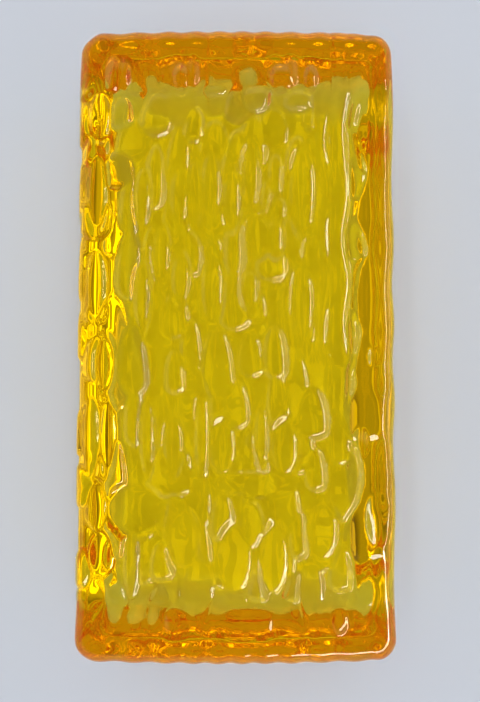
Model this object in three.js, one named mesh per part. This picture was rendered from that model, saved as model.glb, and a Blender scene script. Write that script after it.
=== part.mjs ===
import * as THREE from 'three';

// A solid glass brick, cast in one piece, lying with its patterned face up.
// Length runs along Y, width along X and thickness along Z. The foot is on Z = 0.

// Block (mm)
const brickLength = 200;
const brickWidth = 100;
const brickHeight = 50;
const rimCornerRadius = 3;
const uprightCornerRadius = 7;
const footCornerRadius = 9;
const endBow = 1.2;

// Rounding of the upper edge, and how far each wall leans in from there to the foot (mm)
const sideTopRadius = 4.5;
const endTopRadius = 5;
const wallDraft = 0.5;

// Rounding of the foot (mm), and the lean at which the flat foot cuts it off (degrees)
const sideFootRadius = 17;
const endFootRadius = 30;
const footLean = 33;

// Bark pattern of the upper face (mm): columns of staggered oval domes that melt together.
// Each cell drops off faster at its lower end, and is a little calmer in the middle of the face.
const cellPitch = 6.2;
const cellSpacing = 24;
const cellHalfWidth = 4.5;
const cellHalfLength = 14;
const cellTail = 4.5;
const cellHeight = 1.1;
const cellSoftness = 0.14;
const domePower = 0.6;
const middleCalm = 0.83;
const calmBorderX = 14;
const calmBorderY = 28;
const endCrowding = 0.35;
const driftAmplitude = 1.3;
const driftLength = 195;

// Single cells that stand out of the pattern (mm)
const boldCells = [
  { x: -31.5, y: -52, wide: 8.2, long: 7.2, high: 1 },
  { x: 5.3, y: -44.2, wide: 12.5, long: 3.4, high: 0.8 },
  { x: -4.2, y: -33, wide: 4.2, long: 8, high: 1.1 },
  { x: 15.2, y: -33, wide: 4.2, long: 8, high: 1.1 },
  { x: -16.3, y: -61.2, wide: 4.6, long: 8.6, high: 1 },
  { x: -0.3, y: -67.4, wide: 5.3, long: 10.4, high: 1.1 },
  { x: 12, y: -67.6, wide: 4.3, long: 10.2, high: 1.1 },
  { x: -11.6, y: -77, wide: 4.8, long: 9.5, high: 1.1 },
  { x: 26.9, y: -59, wide: 4.8, long: 8.6, high: 1 },
  { x: 23.6, y: -77, wide: 4, long: 9, high: 1.1 },
  { x: 38.6, y: -20.5, wide: 5.2, long: 6.5, high: 1.6 },
  { x: 38.5, y: -59.5, wide: 5, long: 8.5, high: 1.6 },
];

// Long swaying ridges beside the long sides (mm): each dies out below its own end
const edgeRopes = [
  { side: 1, fromSide: 9.4, wide: 5.6, high: 0.9, sway: 0.6, length: 25.5, crest: 8, end: -14 },
  { side: 1, fromSide: 17.8, wide: 3.4, high: 0.9, sway: 0.4, length: 29, crest: 20, end: -8 },
  { side: -1, fromSide: 8, wide: 5.6, high: 1.2, sway: 0.9, length: 29.5, crest: 18, end: -45 },
];
const ropeEndLength = 8;

// Upright flutes in which the pattern ends at the two short sides (mm)
const fluteHeight = 0.7;
const faceFluteDepth = 0.12;
const wallFluteDepth = 0.4;
const flutePitch = 8.6;
const fluteLength = 19;
const fluteBlend = 7;

// How far the pattern carries on over the edge and down the sides
const sideShare = 0.8;
const sideCrest = 0.8;
const sideReach = 25;
const edgeBlend = 6;

// Mesh fineness
const acrossSteps = 76;
const alongSteps = 42;
const topEdgeSteps = 4;
const wallSteps = 2;
const footEdgeSteps = 5;

const halfX = brickWidth / 2;
const halfY = brickLength / 2;
const clamp = THREE.MathUtils.clamp;

// The long sides and the ends have different roundings.
const footCut = Math.cos(THREE.MathUtils.degToRad(footLean));
const longSide = { top: sideTopRadius, foot: sideFootRadius, footHeight: sideFootRadius * footCut };
const shortSide = { top: endTopRadius, foot: endFootRadius, footHeight: endFootRadius * footCut };

// Squared distance from the middle of an oval, where 1 is its rim.
function ovalReach(x, y, middleX, middleY, wide, long) {
  return ((x - middleX) / wide) ** 2 + ((y - middleY) / long) ** 2;
}

// A dome is flat in the middle of an oval and comes down steeply to nothing at the rim.
function dome(reach, high) {
  return high * Math.max(1 - reach, 0) ** domePower;
}

// Each dome adds to a soft union, in which the highest one wins.
function softPart(height) {
  return Math.expm1(height / cellSoftness);
}

// The nearest cells of the staggered pattern. Size and place differ a little from cell to cell.
function staggeredCells(x, y, room) {
  const crowded = y * (1 + endCrowding * Math.abs(y / halfY) ** 5);
  const drift = driftAmplitude * Math.sin((2 * Math.PI * crowded) / driftLength + 0.6);
  const nearest = Math.round((x + drift) / cellPitch);
  let sum = 0;
  for (let column = nearest - 2; column <= nearest + 2; column += 1) {
    const stagger = cellSpacing * (0.5 * column + 0.2 * Math.sin(5.1 * column + 1.3));
    const row = Math.round((crowded - stagger) / cellSpacing);
    for (const ahead of [-1, 0, 1]) {
      const mark = 3.7 * column + 2.3 * (row + ahead);
      const middleX = column * cellPitch - drift + 0.17 * cellPitch * Math.sin(2.9 * mark + 0.4);
      const middleY = stagger + (row + ahead + 0.16 * Math.sin(4.3 * mark + 2)) * cellSpacing;
      const wide = cellHalfWidth * (1 + 0.22 * Math.sin(1.7 * mark + 1.1));
      const end = crowded < middleY ? cellTail : cellHalfLength;
      const long = end * (1 + 0.25 * Math.sin(3.1 * mark + 0.2));
      const high = cellHeight * (1 + 0.35 * Math.sin(2.3 * mark + 2.6));
      sum += softPart(dome(ovalReach(x, crowded, middleX, middleY, wide, long), high) * room);
    }
  }
  return sum;
}

// A ridge keeps its inner border straight, while its outer border sways along the side.
function ropeReach(x, y, rope) {
  const turn = (2 * Math.PI * (y - rope.crest)) / rope.length;
  const strength = rope.sway * (1 + 0.35 * Math.sin(0.53 * turn));
  const sway = strength * Math.cos(turn + 0.5 * Math.sin(0.37 * turn + 1));
  const middleX = rope.side * (halfX - rope.fromSide) + sway;
  const wide = rope.wide + rope.side * sway;
  const fading = clamp((rope.end - y) / ropeEndLength + 1, 0, 2);
  return ((x - middleX) / wide) ** 2 + fading ** 2;
}

// Height of the pattern above its lowest grooves. Staggered cells give way around the bold ones.
function barkRise(x, y, fluteDepth) {
  let room = 1;
  let sum = 0;
  for (const cell of boldCells) {
    const reach = ovalReach(x, y, cell.x, cell.y, cell.wide, cell.long);
    room = Math.min(room, clamp(reach - 0.7, 0.1, 1));
    sum += softPart(dome(reach, cell.high));
  }
  for (const rope of edgeRopes) {
    const reach = ropeReach(x, y, rope);
    room = Math.min(room, clamp(reach - 0.5, 0.1, 1));
    sum += softPart(dome(reach, rope.high));
  }
  sum += staggeredCells(x, y, room);
  const towardX = (Math.abs(x) - halfX) / calmBorderX + 1;
  const towardY = (Math.abs(y) - halfY) / calmBorderY + 1;
  const calm = THREE.MathUtils.lerp(middleCalm, 1, clamp(Math.max(towardX, towardY), 0, 1));
  const bark = cellSoftness * Math.log1p(sum) * calm;

  const fluteTurn = (2 * Math.PI * x) / flutePitch + 1.5 * Math.sin(x / 11);
  const flute = fluteHeight + fluteDepth * Math.sin(fluteTurn);
  const fluteStart = halfY - fluteLength;
  const toEnd = THREE.MathUtils.smoothstep(Math.abs(y), fluteStart, fluteStart + fluteBlend);
  return THREE.MathUtils.lerp(bark, flute, toEnd);
}

// A point of the square from -1 to 1 goes to its place in a rectangle with round corners.
function roundedPlace(u, v, outline, radius) {
  const x = u * outline.x;
  const y = v * outline.y;
  const coreX = clamp(x, radius - outline.x, outline.x - radius);
  const coreY = clamp(y, radius - outline.y, outline.y - radius);
  const outX = x - coreX;
  const outY = y - coreY;
  const reach = Math.max(Math.abs(outX), Math.abs(outY));
  const length = Math.hypot(outX, outY);
  const normal = length > 1e-9 ? [outX / length, outY / length] : [0, 0];
  return { x: coreX + normal[0] * reach, y: coreY + normal[1] * reach, normal };
}

// The border of the square, once round and anticlockwise seen from above.
function squareBorder() {
  const border = [];
  for (let i = 0; i < acrossSteps; i += 1) {
    border.push([-1 + (2 * i) / acrossSteps, -1]);
  }
  for (let j = 0; j < alongSteps; j += 1) {
    border.push([1, -1 + (2 * j) / alongSteps]);
  }
  for (let i = acrossSteps; i > 0; i -= 1) {
    border.push([-1 + (2 * i) / acrossSteps, 1]);
  }
  for (let j = alongSteps; j > 0; j -= 1) {
    border.push([-1, -1 + (2 * j) / alongSteps]);
  }
  return border;
}

// How far one side stands in at height z: its upper rounding, leaning wall and foot rounding.
function sideInset(side, z) {
  const drop = clamp((z - brickHeight + side.top) / side.top, 0, 1);
  const lift = Math.max(side.footHeight - z, 0) / side.foot;
  const wall = brickHeight - side.top;
  const lean = wallDraft * clamp((wall - z) / wall, 0, 1);
  return side.top * (1 - Math.sqrt(1 - drop ** 2)) + lean + side.foot * (1 - Math.sqrt(1 - lift ** 2));
}

// Levels of the block's side, from the rim of the upper face down to the foot: height, outward
// and upward parts of the surface's direction, and the outline of the block there.
function sideLevels() {
  const topReach = Math.max(longSide.top, shortSide.top);
  const footReach = Math.max(longSide.footHeight, shortSide.footHeight);
  const levels = [];
  for (let i = 0; i <= topEdgeSteps; i += 1) {
    const angle = ((Math.PI / 2) * i) / topEdgeSteps;
    const z = brickHeight - topReach * (1 - Math.cos(angle));
    levels.push({ z, out: Math.sin(angle), up: Math.cos(angle), below: 0 });
  }
  for (let i = 1; i < wallSteps; i += 1) {
    const z = THREE.MathUtils.lerp(brickHeight - topReach, footReach, i / wallSteps);
    levels.push({ z, out: 1, up: 0, below: brickHeight - topReach - z });
  }
  for (let i = 0; i <= footEdgeSteps; i += 1) {
    const angle = ((Math.PI / 2) * i) / footEdgeSteps;
    const z = footReach * (1 - Math.sin(angle));
    levels.push({ z, out: Math.cos(angle), up: 0, below: brickHeight - topReach - z });
  }
  for (const level of levels) {
    level.outline = { x: halfX - sideInset(longSide, level.z), y: halfY - sideInset(shortSide, level.z) };
  }
  return levels;
}

// The upright corner is tightest at the rim and opens out over the edge and towards the foot.
function cornerRadiusAt(level) {
  if (level.below <= 0) {
    return THREE.MathUtils.lerp(rimCornerRadius, uprightCornerRadius, level.out);
  }
  const down = level.below / (level.below + level.z);
  return THREE.MathUtils.lerp(uprightCornerRadius, footCornerRadius, down);
}

// The patterned face, as points between its border and its middle.
function facePlaces(outline) {
  const places = [];
  for (let i = 1; i < acrossSteps; i += 1) {
    for (let j = 1; j < alongSteps; j += 1) {
      const u = -1 + (2 * i) / acrossSteps;
      const v = -1 + (2 * j) / alongSteps;
      const place = roundedPlace(u, v, outline, rimCornerRadius);
      const fromRim = Math.min(outline.x - Math.abs(place.x), outline.y - Math.abs(place.y));
      const rise = barkRise(place.x, place.y, faceFluteDepth);
      places.push({ i, j, x: place.x, y: place.y, rise, inward: clamp(fromRim / edgeBlend, 0, 1) });
    }
  }
  return places;
}

// The whole skin: the patterned face as a grid, its border carried down the side in rings,
// and a flat foot. The pattern sinks into the block, so that its crests keep the full size.
function brickGeometry() {
  const border = squareBorder();
  const ringSize = border.length;
  const levels = sideLevels();
  const face = facePlaces(levels[0].outline);
  const crest = face.reduce((highest, place) => Math.max(highest, place.rise), 0);
  const positions = [];
  const indices = [];

  for (const level of levels) {
    const radius = cornerRadiusAt(level);
    const fade = clamp(1 - level.below / sideReach, 0, 1) ** 2;
    for (const [u, v] of border) {
      const place = roundedPlace(u, v, level.outline, radius);
      const rise = barkRise(place.x, place.y, faceFluteDepth);
      const bulge = barkRise(place.x, place.y, wallFluteDepth);
      const aside = Math.max(sideCrest - bulge, 0) * sideShare * fade * level.out;
      positions.push(place.x - place.normal[0] * aside);
      positions.push(place.y - place.normal[1] * aside);
      positions.push(level.z - level.up * Math.max(crest - rise, 0) * sideShare * fade);
    }
  }
  for (let ring = 0; ring + 1 < levels.length; ring += 1) {
    for (let i = 0; i < ringSize; i += 1) {
      const next = (i + 1) % ringSize;
      const upper = ring * ringSize;
      const lower = upper + ringSize;
      indices.push(upper + i, lower + i, lower + next);
      indices.push(upper + i, lower + next, upper + next);
    }
  }

  // The face's own border is the first ring, so only its inner points are new.
  const gridIndex = Array.from({ length: acrossSteps + 1 }, () => new Array(alongSteps + 1));
  border.forEach(([u, v], i) => {
    const column = Math.round(((u + 1) / 2) * acrossSteps);
    const row = Math.round(((v + 1) / 2) * alongSteps);
    gridIndex[column][row] = i;
  });
  for (const place of face) {
    gridIndex[place.i][place.j] = positions.length / 3;
    const share = THREE.MathUtils.lerp(sideShare, 1, place.inward);
    positions.push(place.x, place.y, brickHeight - (crest - place.rise) * share);
  }
  for (let i = 0; i < acrossSteps; i += 1) {
    for (let j = 0; j < alongSteps; j += 1) {
      const a = gridIndex[i][j];
      const b = gridIndex[i + 1][j];
      const c = gridIndex[i + 1][j + 1];
      const d = gridIndex[i][j + 1];
      indices.push(a, b, c);
      indices.push(a, c, d);
    }
  }

  // The foot closes in a fan around its middle.
  const footMiddle = positions.length / 3;
  positions.push(0, 0, 0);
  const lastRing = (levels.length - 1) * ringSize;
  for (let i = 0; i < ringSize; i += 1) {
    indices.push(lastRing + i, footMiddle, lastRing + ((i + 1) % ringSize));
  }

  bowEnds(positions);
  const geometry = new THREE.BufferGeometry();
  geometry.setAttribute('position', new THREE.Float32BufferAttribute(positions, 3));
  geometry.setIndex(indices);
  geometry.computeVertexNormals();
  return geometry;
}

// The two ends bulge a little: the block has its full length in the middle, less at the corners.
function bowEnds(positions) {
  for (let at = 0; at < positions.length; at += 3) {
    positions[at + 1] *= 1 - (endBow / halfY) * (positions[at] / halfX) ** 2;
  }
}

const amberGlass = new THREE.MeshStandardMaterial({
  name: 'amber_glass',
  color: 0xe0b000,
  roughness: 0.05,
  metalness: 0,
  transparent: true,
  opacity: 0.7,
});

const glassBrick = new THREE.Mesh(brickGeometry(), amberGlass);
glassBrick.name = 'glass_brick';

const group = new THREE.Group();
group.name = 'cast_glass_brick';
group.add(glassBrick);

export default group;
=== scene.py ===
import math
import bpy
import numpy as np
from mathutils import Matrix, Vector


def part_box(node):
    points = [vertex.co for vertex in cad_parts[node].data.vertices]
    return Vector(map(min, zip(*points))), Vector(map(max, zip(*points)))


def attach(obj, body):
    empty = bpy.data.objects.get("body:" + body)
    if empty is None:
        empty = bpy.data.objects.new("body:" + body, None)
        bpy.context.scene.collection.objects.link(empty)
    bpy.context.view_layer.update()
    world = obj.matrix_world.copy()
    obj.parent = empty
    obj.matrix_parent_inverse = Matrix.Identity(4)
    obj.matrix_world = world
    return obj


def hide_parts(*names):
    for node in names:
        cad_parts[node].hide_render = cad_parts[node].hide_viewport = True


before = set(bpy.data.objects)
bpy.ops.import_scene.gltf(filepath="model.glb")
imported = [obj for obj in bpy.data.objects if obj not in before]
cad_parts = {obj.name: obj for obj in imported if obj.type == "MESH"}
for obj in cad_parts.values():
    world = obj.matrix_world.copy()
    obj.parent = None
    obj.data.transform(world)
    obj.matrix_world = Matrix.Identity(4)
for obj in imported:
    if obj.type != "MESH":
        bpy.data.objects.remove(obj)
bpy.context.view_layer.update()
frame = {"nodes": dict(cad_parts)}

mm = 0.001
print("frame loaded:", ", ".join(frame["nodes"]))


def addNode(tree, kind, links=None, **settings):  # links maps an input to a value or to an output socket
    node = tree.nodes.new(kind)
    for name, value in settings.items():
        setattr(node, name, value)
    for name, value in (links or {}).items():
        if isinstance(value, bpy.types.NodeSocket):
            tree.links.new(value, node.inputs[name])
        else:
            node.inputs[name].default_value = value
    return node


def hexColour(text):  # "c8a000" -> linear red, green, blue, alpha
    parts = [int(text[i:i + 2], 16) / 255 for i in (0, 2, 4)]
    return tuple(p / 12.92 if p <= 0.04045 else ((p + 0.055) / 1.055) ** 2.4 for p in parts) + (1.0,)


# the glass brick, with sizes in mm; the pattern is that of the CAD solid, but finer
# four values in brackets are for the +X, -X, +Y and -Y side
brick = {
    # outline, edges and foot
    "rimCornerRadius": 3.0,
    "cornerRadius": 7.0,
    "footCornerRadius": 9.0,
    "topRadius": (4.5, 4.5, 5.0, 5.0),
    "draft": (0.5, 1.0, 0.5, 0.5),
    "footRadius": (17.0, 17.0, 30.0, 30.0),
    "footHeight": (14.3, 14.3, 25.0, 25.0),
    "knuckleHeight": 21.2,  # below this the end walls lean in a little faster than the arc of the foot
    "knuckleDepth": (0.0, 0.0, 0.3, 0.3),
    "knuckleReach": 4.0,
    "knuckleWidth": 0.8,
    "endBow": 1.2,
    "footCrease": 0.4,
    # general pattern of cells
    "cellPitch": 6.2,
    "cellSpacing": 24.0,
    "cellHalfWidth": 4.5,
    "cellHalfLength": 14.0,
    "cellHeight": 1.35,
    "domePower": 0.6,
    "cellSoftness": 0.14,
    "tailLength": 0.32,
    "cellMark": (3.7, 2.3),
    "driftAmplitude": 1.3,
    "driftLength": 195.0,
    "driftStart": 0.6,
    "endCrowding": 0.35,
    "crowdingReach": 100.0,
    "crowdingPower": 5,
    # bold cells and ropes, and how far the general pattern gives way around them
    "boldHeight": 1.25,
    "ropeHeight": 1.3,
    "ropeEndLength": 8.0,
    "boldRoom": 0.7,
    "ropeRoom": 0.5,
    "leastRoom": 0.1,
    # calmer middle of the face, up to a distance from the centre across and along
    "upperCalm": 1.0,
    "lowerCalm": 0.9,
    "calmTurn": 40.0,
    "fullFrom": (30.0, 60.0),
    "fullBlend": (6.0, 12.0),
    # quiet shelf beside the +X side and the ends, with flutes along and waves across it
    "quietFrom": 77.5,
    "quietBlend": 4.0,
    "quietLevel": 0.5,
    "shelfBlend": 2.5,
    "endFlute": 0.07,
    "wallFlute": 0.28,
    "flutePitch": 8.6,
    "fluteWobble": (1.5, 11.0),
    "sideWave": 1.5,
    "waveLength": 33.0,
    "waveWobble": (1.7, 23.0),
    "waveFrom": 43.0,
    "waveBlend": 5.0,
    # ramps on the shelf, and the foot drawn in under them
    "turnRounding": 1.2,
    "rampSpare": 1.0,
    "rampBack": 9.5,
    "drawSpread": 0.9,
    "drawHeight": 20.0,
    "drawBlend": 12.0,
    # how far the pattern carries on over the edge and down the walls
    "sideShare": 0.8,
    "sideCrest": 0.8,
    "sideReach": 25.0,
    "edgeBlend": 6.0,
    # mesh fineness
    "acrossSteps": 190,
    "alongSteps": 320,
    "topEdgeSteps": 8,
    "wallSteps": 8,
    "footEdgeSteps": 14,
}

# how the general cells differ: share of the measure, pace and start of the sine that it follows
cellScatter = {
    "stagger": (0.2, 5.1, 1.3),
    "across": (0.17, 2.9, 0.4),
    "along": (0.16, 4.3, 2.0),
    "width": (0.22, 1.7, 1.1),
    "length": (0.25, 3.1, 0.2),
    "height": (0.35, 2.3, 2.6),
}

# cells that stand out of the general pattern, in mm: place x, y, half width, half length, height
boldCells = [
    (4.6, 51.6, 3.0, 10.0, 1.0),
    (4.3, 16.7, 2.9, 5.6, 0.9),
    (24.1, 27.7, 3.0, 6.2, 1.0),
    (-29.4, 45.4, 2.6, 9.5, 1.0),
    (-29.4, 14.2, 2.6, 10.0, 1.0),
    (-23.6, 27.7, 2.8, 8.5, 0.8),
    (-18.0, 45.4, 2.8, 9.6, 0.9),
    (-13.2, 48.0, 2.6, 9.0, 0.7),
    (-7.8, 49.5, 3.2, 10.5, 0.9),
    (-1.4, 45.0, 2.8, 9.5, 0.8),
    (13.0, 41.7, 3.0, 4.2, 0.8),
    (12.3, 32.7, 2.6, 6.2, 0.8),
    (12.4, 53.0, 2.4, 6.5, 0.8),
    (6.7, 33.0, 4.0, 6.5, 0.7),
    (-17.3, 19.9, 2.9, 7.5, 0.9),
    (-7.4, 17.0, 3.4, 11.0, 0.9),
    (20.9, 48.0, 4.2, 13.5, 0.9),
    (20.9, 12.0, 3.6, 12.0, 0.9),
    (-31.5, -52.0, 8.2, 7.2, 0.8),
    (5.3, -44.2, 12.5, 3.4, 0.6),
    (-4.2, -33.0, 4.2, 8.0, 0.9),
    (15.2, -33.0, 4.2, 8.0, 0.9),
    (8.1, -29.0, 2.3, 9.0, 0.9),
    (-10.4, -29.5, 2.4, 14.0, 0.9),
    (-27.5, -29.7, 2.4, 11.5, 0.9),
    (-19.4, -32.0, 3.0, 8.5, 0.8),
    (4.6, -57.0, 3.6, 7.0, 0.7),
    (-0.3, -67.4, 5.3, 10.4, 0.85),
    (12.0, -67.6, 4.3, 10.2, 0.85),
    (-16.3, -61.2, 4.6, 8.6, 0.8),
    (-11.6, -77.0, 4.8, 9.5, 0.85),
    (-32.0, -69.0, 2.6, 10.6, 0.9),
    (26.9, -59.0, 4.8, 8.6, 0.8),
    (23.6, -77.0, 4.0, 9.0, 0.85),
    (-43.6, 47.5, 3.2, 12.0, 0.9),
    (-43.8, 18.0, 3.2, 11.0, 0.9),
    (-40.8, -7.0, 3.0, 8.5, 0.8),
    (-45.2, -30.0, 3.0, 12.5, 0.9),
    (-39.6, -29.0, 2.4, 11.0, 0.7),
    (-43.0, -51.5, 3.4, 7.5, 0.9),
    (-41.5, -66.0, 4.2, 7.5, 0.8),
    (-43.0, -79.0, 3.2, 7.5, 0.6),
    (-43.0, 72.0, 3.6, 8.0, 1.0),
    (-17.4, 83.2, 2.6, 4.6, 1.1),
    (14.0, 83.2, 3.6, 4.6, 1.1),
    (23.6, 83.4, 2.6, 4.4, 1.1),
    (32.0, -86.5, 2.8, 4.4, 1.1),
]

# long ridges beside the +X side, in mm: middle line, half width, height, how far, how often and where the
# crest sways, and the y below which the ridge dies out
edgeRopes = [
    {"x": 32.2, "wide": 3.4, "high": 0.7, "sway": 0.4, "length": 29.0, "crest": 20.0, "end": -8.0},
    {"x": 27.2, "wide": 2.9, "high": 0.6, "sway": 0.5, "length": 33.0, "crest": 50.0, "end": -5.0},
]

# shallow bowls in the shelf, in mm: place x, y, half width, half length, depth
dents = [
    (44.0, -55.0, 4.4, 8.5, 1.0),
    (38.6, -31.5, 2.6, 5.5, 0.8),
    (42.6, -4.5, 1.6, 3.6, 0.5),
]

# where the shelf tips, in mm: how far out, along y by the +X side and along x by the +Y and the -Y end
sideTurns = [
    (-100, 39), (-83, 37.6), (-75, 36.8), (-68, 36.4), (-65, 35.4), (-58, 35.2), (-54.5, 35.4), (-50, 38.2),
    (-44, 39.8), (-37, 39.4), (-32, 38), (-28.5, 35.4), (-25, 35.2), (-18.5, 35.4), (-14, 37.4), (-8.6, 37),
    (-3, 38), (3.7, 39.4), (7, 38), (15, 37.6), (23, 38.8), (28.9, 41.8), (34, 40), (38.7, 37.8), (46, 39),
    (53.2, 42), (60, 39.5), (66.7, 38), (74, 39.5), (80, 42), (100, 41),
]
upperTurns = [
    (-38, 79.2), (-36.5, 80.8), (-34.3, 79.2), (-32.5, 84.2), (-30, 85.2), (-26.3, 84.6), (-24.5, 82.6),
    (-20.8, 81.4), (-19, 80.1), (-15.9, 81.4), (-12.8, 79.8), (-11, 84.2), (-8.5, 84.8), (-6, 83.3),
    (-1.7, 83.3), (0.1, 86.4), (2.9, 87.4), (5.7, 85.6), (8.7, 83.3), (10, 81.9), (12.4, 80.1), (14, 81.8),
    (17.3, 79.5), (20.1, 82.6), (22, 81), (24.1, 81.4), (28.4, 82.9), (29.7, 84.6), (33.3, 85.2),
    (34.6, 84.2), (38.3, 85.6), (41, 82.8),
]
lowerTurns = [
    (-43, 88.4), (-38.5, 87.2), (-36.2, 86.2), (-34, 87.8), (-30, 86.6), (-27.5, 88), (-24.5, 86.6),
    (-21.5, 83.2), (-19.6, 81.3), (-16.5, 82.4), (-12.8, 84.3), (-10.7, 85.7), (-6.7, 83.8), (-3.6, 83.8),
    (-1.7, 82), (2.6, 81.7), (8.7, 81.9), (12.4, 83.8), (15.5, 84.3), (19.5, 86.7), (22.3, 84.3),
    (24.1, 82.7), (27.2, 84.7), (30.9, 84.3), (35.8, 82.7), (41, 84),
]

# the edges that have ramps: the axis and sign that point out, how far out the shelf is level, how fast the
# ramps bend (per mm), how far along the edge they go, and the share of a tongue by which the foot is drawn in
edges = [
    {"axis": 0, "sign": 1, "turns": sideTurns, "flat": 40.0, "curve": 0.06, "reach": 78.0, "fade": 8.0,
     "draw": 0.0},
    {"axis": 1, "sign": 1, "turns": upperTurns, "flat": 83.0, "curve": 0.09, "reach": 38.0, "fade": 4.0,
     "draw": 0.67},
    {"axis": 1, "sign": -1, "turns": lowerTurns, "flat": 84.0, "curve": 0.09, "reach": 38.0, "fade": 4.0,
     "draw": 0.67},
]


def smooth(t):  # 0 to 1 with level ends
    t = np.clip(t, 0, 1)
    return t * t * (3 - 2 * t)


def unevenCosine(turn):  # cosine whose pace and height change slowly, so that no two swings are alike
    return np.cos(turn + 0.5 * np.sin(0.37 * turn + 1)) * (1 + 0.35 * np.sin(0.53 * turn))


def unevenSine(place, length, wobble, wobbleLength):  # sine of the place, whose phase sways by wobble
    return np.sin(2 * math.pi * place / length + wobble * np.sin(place / wobbleLength))


def scatter(measure, mark):  # share * sin(pace * mark + start), which differs from cell to cell
    share, pace, start = cellScatter[measure]
    return share * np.sin(pace * mark + start)


def cellDome(x, y, atX, atY, wide, long, high, tail=1.0):
    # oval dome: high * (1 - distance squared) ** power, nothing at its rim; tail shortens the half towards -Y
    along = (y - atY) / long
    reach = ((x - atX) / wide) ** 2 + np.where(along < 0, along / tail, along) ** 2
    return high * np.clip(1 - reach, 0, 1) ** brick["domePower"]


def turnLine(turns, place):  # straight between the given points, rounded by averaging over a short way
    at, turn = np.array(turns, float).T
    shifts = brick["turnRounding"] * np.linspace(-1, 1, 5)
    return np.mean([np.interp(place + shift, at, turn) for shift in shifts], axis=0)


def footDraw(place, unit):
    # how far the foot is drawn in: a share of how far the turn lies past the level line, times how squarely
    # the wall faces that way, squared
    spread = place * brick["drawSpread"]
    drawn = np.zeros(len(place))
    for edge in edges:
        tongue = np.clip(turnLine(edge["turns"], spread[:, 1 - edge["axis"]]) - edge["flat"], 0, None)
        facing = np.clip(edge["sign"] * unit[:, edge["axis"]], 0, 1)
        drawn += edge["draw"] * tongue * facing ** 2
    return drawn


def ramp(out, flat, turn, curve):
    # turn inside the level line: a parabola up, steepest at the turn and level just past the line
    # turn outside it: a parabola down, level just before the line and steepest at the turn
    # past its end, either one fades out over rampBack
    gap = turn - flat
    spare = np.minimum(np.abs(gap), brick["rampSpare"])
    up = np.where(gap < 0, spare - gap, 0)
    down = np.where(gap > 0, spare + gap, 0)
    rise = up ** 2 - np.clip(turn + up - out, 0, up) ** 2
    fall = np.clip(out - turn + down, 0, down) ** 2
    return curve * (rise - fall) * (1 - smooth((out - turn - up) / brick["rampBack"]))


def edgeTilt(x, y):  # the ramps, each faded out near the ends of its edge, less the dents, which are bowls
    spot = (x, y)
    tilt = np.zeros_like(x)
    for edge in edges:
        out = edge["sign"] * spot[edge["axis"]]
        beside = spot[1 - edge["axis"]]
        turn = turnLine(edge["turns"], beside)
        if edge["draw"]:
            turn = np.minimum(turn, edge["flat"])
        fade = 1 - smooth((np.abs(beside) - edge["reach"]) / edge["fade"])
        tilt += ramp(out, edge["flat"], turn, edge["curve"]) * fade
    for atX, atY, wide, long, deep in dents:
        tilt -= deep * np.clip(1 - ((x - atX) / wide) ** 2 - ((y - atY) / long) ** 2, 0, 1)
    return tilt


# reliefs melt together where they meet: each adds exp(height / softness) - 1 to a sum, and softness times the
# logarithm of 1 + the sum is their common height


def boldParts(x, y):  # the sum over bold cells and ropes, and the room that they leave to the general cells
    soft, least = brick["cellSoftness"], brick["leastRoom"]
    total = np.zeros_like(x)
    room = np.ones_like(x)
    for atX, atY, wide, long, high in boldCells:
        reach = ((x - atX) / wide) ** 2 + ((y - atY) / long) ** 2
        room = np.minimum(room, np.clip(reach - brick["boldRoom"], least, 1))
        total += np.expm1(cellDome(x, y, atX, atY, wide, long, brick["boldHeight"] * high) / soft)
    for rope in edgeRopes:
        sway = rope["sway"] * unevenCosine(2 * math.pi * (y - rope["crest"]) / rope["length"])
        past = np.clip((rope["end"] - y) / brick["ropeEndLength"] + 1, 0, 2)
        reach = ((x - rope["x"] - sway) / (rope["wide"] + sway)) ** 2 + past ** 2
        room = np.minimum(room, np.clip(reach - brick["ropeRoom"], least, 1))
        total += np.expm1(brick["ropeHeight"] * rope["high"] * np.clip(1 - reach, 0, 1) / soft)
    return total, room


def plainParts(x, y, room):  # the sum over the nearby general cells, in staggered columns that drift with y
    pitch, spacing = brick["cellPitch"], brick["cellSpacing"]
    acrossMark, alongMark = brick["cellMark"]
    drift = brick["driftAmplitude"] * np.sin(2 * math.pi * y / brick["driftLength"] + brick["driftStart"])
    nearest = np.rint((x + drift) / pitch)
    total = np.zeros_like(x)
    for step in (-2, -1, 0, 1, 2):
        column = nearest + step
        stagger = spacing * (0.5 * column + scatter("stagger", column))
        row = np.rint((y - stagger) / spacing)
        for ahead in (-1, 0, 1):
            mark = acrossMark * column + alongMark * (row + ahead)
            atX = column * pitch - drift + pitch * scatter("across", mark)
            atY = stagger + (row + ahead + scatter("along", mark)) * spacing
            wide = brick["cellHalfWidth"] * (1 + scatter("width", mark))
            long = brick["cellHalfLength"] * (1 + scatter("length", mark))
            high = brick["cellHeight"] * (1 + scatter("height", mark))
            dome = cellDome(x, y, atX, atY, wide, long, high, brick["tailLength"])
            total += np.expm1(dome * room / brick["cellSoftness"])
    return total


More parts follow.
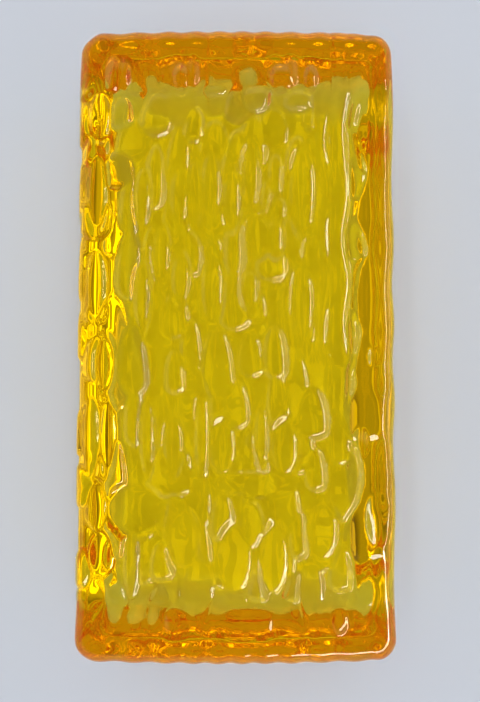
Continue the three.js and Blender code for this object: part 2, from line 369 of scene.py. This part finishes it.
def barkRise(x, y, fluteDepth):
    # height of the relief: the general pattern, calmer in the middle and replaced by the fluted level on the
    # shelf, melted together with the bold parts, plus the tilt near the edges
    soft = brick["cellSoftness"]
    bold, room = boldParts(x, y)
    toEnd = (np.abs(y) / brick["crowdingReach"]) ** brick["crowdingPower"]
    crowded = y * (1 + brick["endCrowding"] * toEnd)
    plain = soft * np.log1p(plainParts(x, crowded, room))
    toLower = np.clip(0.5 - y / brick["calmTurn"], 0, 1)
    calm = brick["upperCalm"] + (brick["lowerCalm"] - brick["upperCalm"]) * toLower
    toSide, toEnd = [(np.abs(a) - b) / c for a, b, c in zip((x, y), brick["fullFrom"], brick["fullBlend"])]
    strength = calm + (1 - calm) * smooth(np.maximum(toSide, toEnd))
    shelf = (x - turnLine(sideTurns, y) + brick["shelfBlend"]) / brick["shelfBlend"]
    quiet = np.maximum(smooth((np.abs(y) - brick["quietFrom"]) / brick["quietBlend"]), smooth(shelf))
    flutes = unevenSine(x, brick["flutePitch"], *brick["fluteWobble"])
    waves = unevenSine(y, brick["waveLength"], *brick["waveWobble"])
    waves *= brick["sideWave"] * smooth((np.abs(x) - brick["waveFrom"]) / brick["waveBlend"])
    level = brick["quietLevel"] + fluteDepth * (flutes + waves)
    ground = plain * strength * (1 - quiet) + level * quiet
    return soft * np.log1p(np.expm1(ground / soft) + bold) + edgeTilt(x, y)


def roundedPlace(uv, low, high, radius):
    # the square [-1, 1] stretched to a rectangle; what lies past the centres of its corners moves onto arcs
    half, middle = (high - low) / 2, (high + low) / 2
    flat = uv * half
    inner = np.clip(flat, radius - half, half - radius)
    out = flat - inner
    length = np.linalg.norm(out, axis=-1, keepdims=True)
    unit = out / np.maximum(length, 1e-9)
    return middle + inner + unit * np.abs(out).max(axis=-1, keepdims=True), unit


def squareBorder(nx, ny):  # points once round the square, anticlockwise from above
    u = np.linspace(-1, 1, nx + 1)
    v = np.linspace(-1, 1, ny + 1)
    south = np.stack([u[:-1], -np.ones(nx)], 1)
    east = np.stack([np.ones(ny), v[:-1]], 1)
    north = np.stack([u[:0:-1], np.ones(nx)], 1)
    west = np.stack([-np.ones(ny), v[:0:-1]], 1)
    return np.concatenate([south, east, north, west])


def sideInset(z, height, side):
    # how far one wall stands in at height z: arcs of the upper edge and the foot, lean of the wall, knuckle
    names = ("topRadius", "draft", "footRadius", "footHeight", "knuckleDepth")
    topRadius, draft, footRadius, footHeight, knuckleDepth = [brick[name][side] for name in names]
    drop = np.clip((z - height + topRadius) / topRadius, 0, 1)
    lean = draft * np.clip((height - topRadius - z) / (height - topRadius), 0, 1)
    above = np.clip(1 - (brick["knuckleHeight"] - z) / brick["knuckleReach"], 0, 1)
    knuckle = knuckleDepth * (1 - above ** 2)
    lift = np.clip(footHeight - z, 0, None) / footRadius
    arcs = topRadius * (1 - np.sqrt(1 - drop ** 2)) + footRadius * (1 - np.sqrt(1 - lift ** 2))
    return arcs + lean + knuckle


def sideLevels(height):
    # rows from rim to foot: z, then how far the normal points out and up, and the insets of the four walls
    # the rows follow quarter circles at the upper edge and the foot, with one more just above and below the
    # height of the knuckle
    rt, rf = max(brick["topRadius"]), max(brick["footHeight"])
    topTurn = np.linspace(0, math.pi / 2, brick["topEdgeSteps"] + 1)
    footTurn = np.linspace(0, math.pi / 2, brick["footEdgeSteps"] + 1)
    knuckle = brick["knuckleHeight"] + brick["knuckleWidth"] * np.array([0.5, -0.5])
    footTurn = np.sort(np.append(footTurn, np.arcsin(1 - knuckle / rf)))
    wall = np.linspace(height - rt, rf, brick["wallSteps"] + 1)[1:-1]
    z = np.concatenate([height - rt * (1 - np.cos(topTurn)), wall, rf * (1 - np.sin(footTurn))])
    out = np.concatenate([np.sin(topTurn), np.ones_like(wall), np.cos(footTurn)])
    up = np.concatenate([np.cos(topTurn), np.zeros_like(wall), np.zeros_like(footTurn)])
    insets = np.stack([sideInset(z, height, side) for side in range(4)], 1)
    insets = np.concatenate([insets, insets[-1:] + brick["footCrease"]])
    return np.stack([np.append(z, 0), np.append(out, 0), np.append(up, 0)], 1), insets


def upperFace(low, high, height):  # grid inside the rim: the relief hangs below its crest, less near the rim
    u = np.linspace(-1, 1, brick["acrossSteps"] + 1)[1:-1]
    v = np.linspace(-1, 1, brick["alongSteps"] + 1)[1:-1]
    grid = np.stack(np.meshgrid(u, v, indexing="ij"), -1).reshape(-1, 2)
    place, _ = roundedPlace(grid, low, high, brick["rimCornerRadius"])
    rise = barkRise(place[:, 0], place[:, 1], brick["endFlute"])
    crest = rise.max()
    fromRim = np.minimum(place - low, high - place).min(axis=1)
    share = brick["sideShare"] + (1 - brick["sideShare"]) * np.clip(fromRim / brick["edgeBlend"], 0, 1)
    return np.column_stack([place, height - (crest - rise) * share]), crest


def wallRing(border, level, low, high, edgeZ, crest):
    # one ring: the relief moves it down at the upper edge and in on the wall, and fades out below edgeZ
    z, out, up = level
    below = edgeZ - z
    if below <= 1e-6:
        radius = brick["rimCornerRadius"] + (brick["cornerRadius"] - brick["rimCornerRadius"]) * out
    else:
        radius = brick["cornerRadius"] + (brick["footCornerRadius"] - brick["cornerRadius"]) * below / edgeZ
    place, unit = roundedPlace(border, low, high, radius)
    share = brick["sideShare"] * np.clip(1 - below / brick["sideReach"], 0, 1) ** 2
    rise = barkRise(place[:, 0], place[:, 1], brick["endFlute"])
    bulge = barkRise(place[:, 0], place[:, 1], brick["wallFlute"])
    inward = out * np.clip(brick["sideCrest"] - bulge, 0, None) * share
    inward += footDraw(place, unit) * smooth((brick["drawHeight"] - z) / brick["drawBlend"])
    return np.column_stack([place - unit * inward[:, None], z - up * (crest - rise) * share])


def skinFaces(border, levelCount):  # quads between the rings and over the grid, triangles over the foot
    nx, ny = brick["acrossSteps"], brick["alongSteps"]
    ring = len(border)
    inner = levelCount * ring + np.arange((nx - 1) * (ny - 1))
    i = np.arange(ring)
    j = (i + 1) % ring
    rows = np.arange(levelCount - 1)[:, None] * ring
    side = np.stack([rows + i, rows + ring + i, rows + ring + j, rows + j], -1).reshape(-1, 4)
    index = np.empty((nx + 1, ny + 1), int)
    index[1:-1, 1:-1] = inner.reshape(nx - 1, ny - 1)
    column, row = np.rint((border + 1) / 2 * (nx, ny)).astype(int).T
    index[column, row] = i
    top = np.stack([index[:-1, :-1], index[1:, :-1], index[1:, 1:], index[:-1, 1:]], -1).reshape(-1, 4)
    last = (levelCount - 1) * ring
    middle = np.full(ring, inner[-1] + 1)
    foot = np.stack([last + i, middle, last + j], 1)
    return np.concatenate([side, top]), foot


def brickSkin(halfX, halfY, height):
    # patterned grid, its border carried down in rings, and a flat foot; the ends stand in by endBow at the
    # corners, less by the square of x towards their middle
    levels, insets = sideLevels(height)
    lows = np.array([-halfX, -halfY]) + insets[:, [1, 3]]
    highs = np.array([halfX, halfY]) - insets[:, [0, 2]]
    border = squareBorder(brick["acrossSteps"], brick["alongSteps"])
    face, crest = upperFace(lows[0], highs[0], height)
    edgeZ = levels[brick["topEdgeSteps"], 0]
    rings = [wallRing(border, *row, edgeZ, crest) for row in zip(levels, lows, highs)]
    points = np.concatenate([*rings, face, np.zeros((1, 3))])
    points[:, 1] *= 1 - brick["endBow"] / halfY * (points[:, 0] / halfX) ** 2
    return points, *skinFaces(border, len(levels))


def meshFromArrays(name, points, quads, triangles):  # one smooth mesh object from points in mm
    mesh = bpy.data.meshes.new(name)
    mesh.vertices.add(len(points))
    mesh.vertices.foreach_set("co", (points * mm).ravel())
    mesh.loops.add(quads.size + triangles.size)
    mesh.loops.foreach_set("vertex_index", np.concatenate([quads.ravel(), triangles.ravel()]))
    mesh.polygons.add(len(quads) + len(triangles))
    starts = np.concatenate([np.arange(len(quads)) * 4, quads.size + np.arange(len(triangles)) * 3])
    mesh.polygons.foreach_set("loop_start", starts)
    mesh.polygons.foreach_set("use_smooth", np.ones(len(starts), bool))
    mesh.update(calc_edges=True)
    mesh.validate()
    thing = bpy.data.objects.new(name, mesh)
    bpy.context.scene.collection.objects.link(thing)
    return thing


low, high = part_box("glass_brick")
size = [(h - l) / mm for l, h in zip(low, high)]
points, quads, triangles = brickSkin(size[0] / 2, size[1] / 2, size[2])
castBrick = meshFromArrays("cast_brick", points, quads, triangles)
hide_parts("glass_brick")
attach(castBrick, "root")
print("brick skin:", 2 * len(quads) + len(triangles), "triangles")

# yellow soda-lime glass, cast and fire-polished: clear, smooth, and deeper orange the further light travels
glass = {
    "colour": "ffffff",
    "ior": 1.5,
    "roughness": 0.0,
    "absorbRed": 0.2,  # each per metre
    "absorbGreen": 3.75,
    "absorbBlue": 60.0,
}


def castGlass():  # the surface is clear, and the body keeps less of green and least of blue
    material = bpy.data.materials.new("fire_polished_yellow_glass")
    material.use_nodes = True
    tree = material.node_tree
    shader = tree.nodes["Principled BSDF"]
    shader.inputs["Base Color"].default_value = hexColour(glass["colour"])
    shader.inputs["Roughness"].default_value = glass["roughness"]
    shader.inputs["IOR"].default_value = glass["ior"]
    shader.inputs["Transmission Weight"].default_value = 1.0
    strongest = glass["absorbBlue"]
    keep = [1 - glass[name] / strongest for name in ("absorbRed", "absorbGreen", "absorbBlue")]
    body = addNode(tree, "ShaderNodeVolumeAbsorption", {"Color": (*keep, 1.0), "Density": strongest})
    tree.links.new(body.outputs["Volume"], tree.nodes["Material Output"].inputs["Volume"])
    return material


castBrick.data.materials.append(castGlass())
print("glass made")

stageLook = {
    "floorColour": "c8ced8",
    "floorRoughness": 0.9,
    "floorSize": 6.0,     # m
    "floorGap": 0.3,      # mm, between the paper and the foot
    "worldLeft": 0.42,    # brightness of the room towards -X
    "worldRight": 0.6,
    "worldReach": 0.9,
    "worldZenith": 0.06,  # share of it that is left straight above
    "skyFrom": 0.47,      # height of the line of sight at which the room begins to darken, 1 is straight up
    "skyTo": 0.72,
    "aimHeight": 0.025,   # m, where the aimed lamps point
    "bounces": 32,
}


def paperFloor():  # matt paper, just clear of the foot
    place = (0, 0, -stageLook["floorGap"] * mm)
    bpy.ops.mesh.primitive_plane_add(size=stageLook["floorSize"], location=place)
    floor = bpy.context.object
    floor.name = "paper_floor"
    material = bpy.data.materials.new("matt_white_paper")
    material.use_nodes = True
    shader = material.node_tree.nodes["Principled BSDF"]
    shader.inputs["Base Color"].default_value = hexColour(stageLook["floorColour"])
    shader.inputs["Roughness"].default_value = stageLook["floorRoughness"]
    shader.inputs["Specular IOR Level"].default_value = 0.0
    floor.data.materials.append(material)


paperFloor()

# lamps in m and W: sheenOnly ones show as streaks on the glass, paperOnly ones light just the paper
sheenOnly = {"transmitted": False, "onPaper": False}
paperOnly = {"mirrored": False, "transmitted": False}
lamps = {
    "window": {"at": (1.1, 0.0, 0.5), "size": (0.8, 0.15), "power": 0.7},
    "longWindow": {"at": (0.78, 0.0, 1.0), "size": (1.3, 0.1), "power": 5.0, **sheenOnly},
    "skylight": {"at": (0.45, -0.8, 0.92), "size": (0.9, 0.2), "power": 6.4, **sheenOnly},
    "spot": {"at": (0.7, -0.59, 0.92), "size": (0.1, 0.04), "power": 0.3},
    "farWash": {"at": (0.0, 0.8, 0.22), "size": (1.2, 0.2), "power": 1.6, **paperOnly},
    "nearWash": {"at": (0.0, -0.8, 0.22), "size": (1.2, 0.2), "power": 1.6, **paperOnly},
    "ceiling": {"at": (-0.09, 0.1, 1.3), "size": (2.85, 2.7), "power": 14.6, "mirrored": False},
}
panelRows = {
    "columns": 4,
    "rows": 3,
    "acrossStep": 0.3,
    "alongStep": 0.7,
    "height": 1.3,
    "size": (0.14, 0.5),
    "power": 0.74,
}


def softLamp(name, at, size, power, mirrored=True, transmitted=True, onPaper=True, aimed=True):
    # rectangle of light, aimed at the middle of the brick or straight down; the switches say what it reaches
    light = bpy.data.lights.new(name, "AREA")
    light.shape = "RECTANGLE"
    light.size, light.size_y = size
    light.energy = power
    lamp = bpy.data.objects.new(name, light)
    lamp.location = at
    lamp.visible_glossy = mirrored
    lamp.visible_transmission = transmitted
    lamp.visible_diffuse = onPaper
    if aimed:
        aim = Vector((0, 0, stageLook["aimHeight"])) - Vector(at)
        lamp.rotation_euler = aim.to_track_quat("-Z", "Y").to_euler()
    bpy.context.scene.collection.objects.link(lamp)


def ceilingPanels():  # staggered rows of panels that face straight down
    for column in range(panelRows["columns"]):
        for row in range(panelRows["rows"]):
            x = (column - (panelRows["columns"] - 1) / 2) * panelRows["acrossStep"]
            y = (row - (panelRows["rows"] - 1) / 2 + 0.5 * (column % 2)) * panelRows["alongStep"]
            at = (x, y, panelRows["height"])
            softLamp("panel", at, panelRows["size"], panelRows["power"], mirrored=False, aimed=False)


for name, lamp in lamps.items():
    softLamp(name, **lamp)
ceilingPanels()
print("lamps set")


def softRoom():  # brightness runs from left to right, times a share that drops towards straight above
    world = bpy.data.worlds.new("soft_room")
    bpy.context.scene.world = world
    world.use_nodes = True
    tree = world.node_tree
    background = tree.nodes["Background"]
    background.inputs["Strength"].default_value = 1.0
    direction = addNode(tree, "ShaderNodeTexCoord")
    axes = addNode(tree, "ShaderNodeSeparateXYZ", {"Vector": direction.outputs["Generated"]})
    across = addNode(tree, "ShaderNodeMapRange", {
        "Value": axes.outputs["X"],
        "From Min": -stageLook["worldReach"],
        "From Max": stageLook["worldReach"],
        "To Min": stageLook["worldLeft"],
        "To Max": stageLook["worldRight"],
    })
    above = addNode(tree, "ShaderNodeMapRange", {
        "Value": axes.outputs["Z"],
        "From Min": stageLook["skyFrom"],
        "From Max": stageLook["skyTo"],
        "To Min": 1.0,
        "To Max": stageLook["worldZenith"],
    })
    shares = {0: across.outputs["Result"], 1: above.outputs["Result"]}
    both = addNode(tree, "ShaderNodeMath", shares, operation="MULTIPLY")
    tree.links.new(both.outputs["Value"], background.inputs["Color"])


softRoom()

view = {
    "atX": 10.0,         # mm, where the camera stands over the block
    "atY": -8.0,
    "distance": 175.0,   # mm above the upper face
    "tilt": 1.7,         # degrees off straight down, seen from the -Y end
    "lean": 0.3,         # degrees off straight down, seen from the +X side
    "aimX": -0.5,        # mm, what the middle of the picture shows
    "aimY": -2.8,
    "pixelsPerMm": 3.25,
    "pictureHeight": 702,
    "sensor": 36.0,
}


def placeCamera():  # the lens is shifted so that a camera standing off the aim still looks straight down
    camera = bpy.data.cameras.new("view")
    holder = bpy.data.objects.new("view", camera)
    bpy.context.scene.collection.objects.link(holder)
    tilt, lean = math.radians(view["tilt"]), math.radians(view["lean"])
    holder.location = Vector((view["atX"], view["atY"], size[2] + view["distance"])) * mm
    holder.rotation_euler = (tilt, -lean, 0)
    camera.sensor_fit = "VERTICAL"
    camera.sensor_height = view["sensor"]
    perMm = view["pixelsPerMm"] / view["pictureHeight"]
    camera.lens = view["sensor"] * view["distance"] * perMm
    camera.shift_x = (view["aimX"] - view["atX"] + view["distance"] * math.tan(lean)) * perMm
    camera.shift_y = (view["aimY"] - view["atY"] - view["distance"] * math.tan(tilt)) * perMm
    bpy.context.scene.camera = holder


placeCamera()
bpy.context.scene.view_settings.view_transform = "Standard"
cycles = bpy.context.scene.cycles
cycles.blur_glossy = 0.0  # light through the clear block keeps its full strength
for limit in ("max_bounces", "transmission_bounces", "glossy_bounces"):
    setattr(cycles, limit, stageLook["bounces"])  # light turns many times inside the rounded foot
